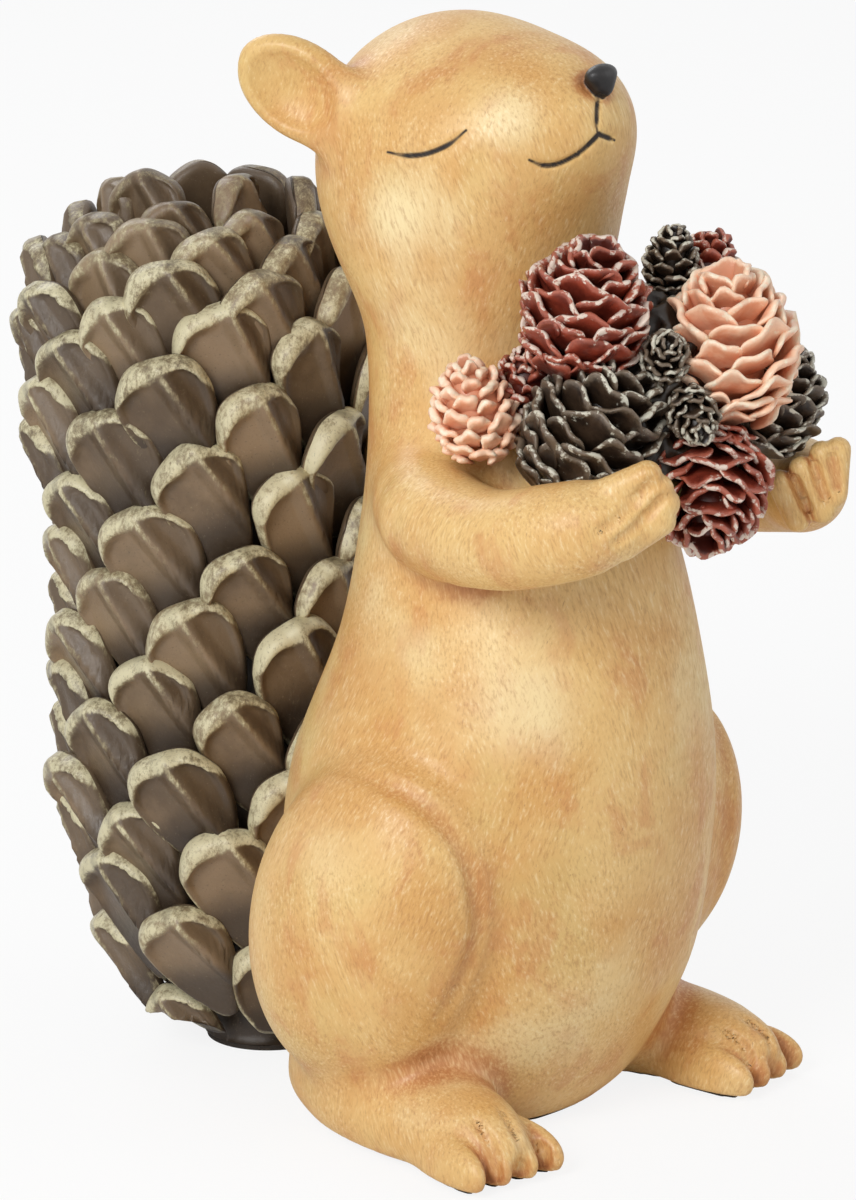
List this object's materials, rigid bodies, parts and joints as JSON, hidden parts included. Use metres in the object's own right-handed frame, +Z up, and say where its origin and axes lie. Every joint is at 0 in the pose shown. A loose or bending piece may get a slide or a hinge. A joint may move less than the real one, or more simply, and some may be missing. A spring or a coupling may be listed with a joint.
{
  "type": "squirrel figurine",
  "caption": "Sitting resin squirrel with closed eyes that hugs a bunch of pine cones, with one large cone as its tail. Stands on its own flat base.",
  "frame": {"origin": "on the floor, under the middle of the body, in the face of the body's felt sole", "axes": "the squirrel faces -Y, +X is its left side and +Z is up"},
  "size_m": [0.157, 0.2519, 0.3005],
  "materials": {
    "honey_resin": "satin hand-painted resin, honey tan with a brown wash",
    "bark_resin": "satin hand-painted resin, grey brown with dry-brushed cream tips",
    "rose_resin": "satin painted resin, brick rose with whitish tips",
    "pink_resin": "satin painted resin, peach pink with pale tips",
    "dark_resin": "satin painted resin, dark brown with silvery tips",
    "glue_resin": "satin painted resin, yellow olive",
    "plug_plastic": "matt",
    "felt": "matt felt",
    "pin_steel": "brushed"
  },
  "bodies": {
    "root": {"body_casting": "honey_resin", "tail_casting": "bark_resin", "body_felt": "felt", "tail_felt": "felt", "body_plug": "plug_plastic", "tail_plug": "plug_plastic", "tail_pin_lower": "pin_steel", "tail_pin_upper": "pin_steel", "bunch_bed": "glue_resin", "dark_cone_middle": "dark_resin", "rose_cone_large": "rose_resin", "pink_cone_large": "pink_resin", "rose_cone_low": "rose_resin", "dark_cone_left": "dark_resin", "rose_cone_far": "rose_resin", "pink_cone_right": "pink_resin", "pink_cone_far": "pink_resin", "rose_cone_inner": "rose_resin", "rose_cone_top": "rose_resin", "dark_cone_top": "dark_resin", "dark_cone_small": "dark_resin", "dark_cone_lower": "dark_resin"}
  },
  "joints": []
}
